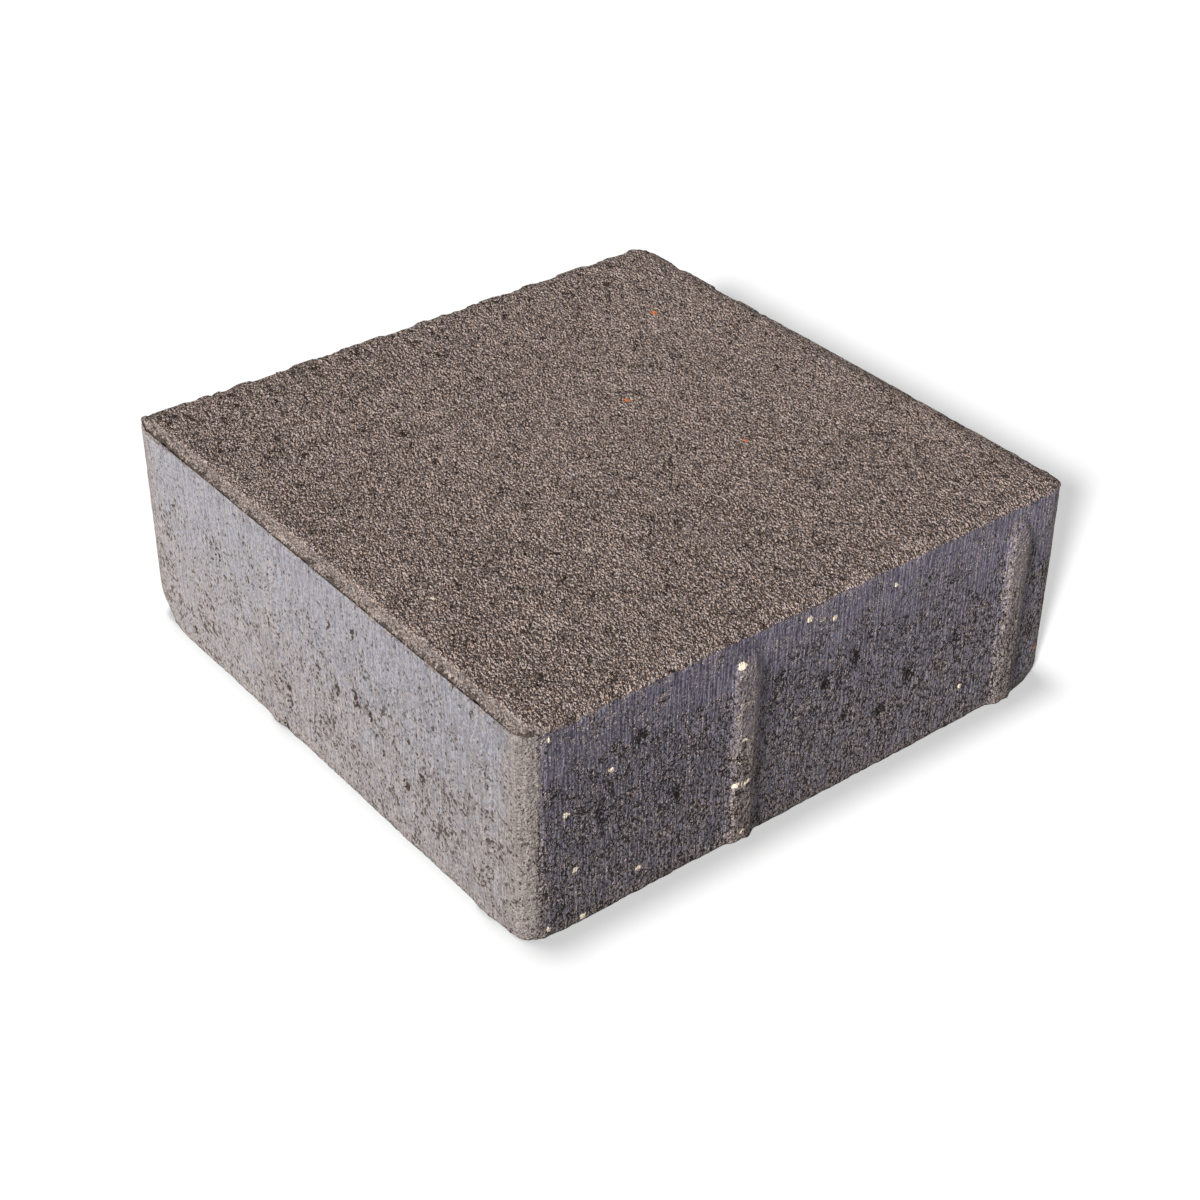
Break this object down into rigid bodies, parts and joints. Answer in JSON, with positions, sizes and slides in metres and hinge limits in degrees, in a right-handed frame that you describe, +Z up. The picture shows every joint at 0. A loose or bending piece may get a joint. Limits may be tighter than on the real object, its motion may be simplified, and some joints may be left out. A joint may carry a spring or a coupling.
{
  "type": "concrete paving stone",
  "caption": "Square pressed concrete paving stone with a shallow bevel round its wearing face and low spacer ribs on its sides.",
  "frame": {"origin": "middle of the bed face, on the ground the stone is laid on", "axes": "+Z up through the thickness to the wearing face, +X and +Y square to the sides"},
  "size_m": [0.2, 0.2, 0.07],
  "materials": {
    "concrete": "matte"
  },
  "bodies": {
    "root": {"paving_stone": "concrete"}
  },
  "joints": []
}
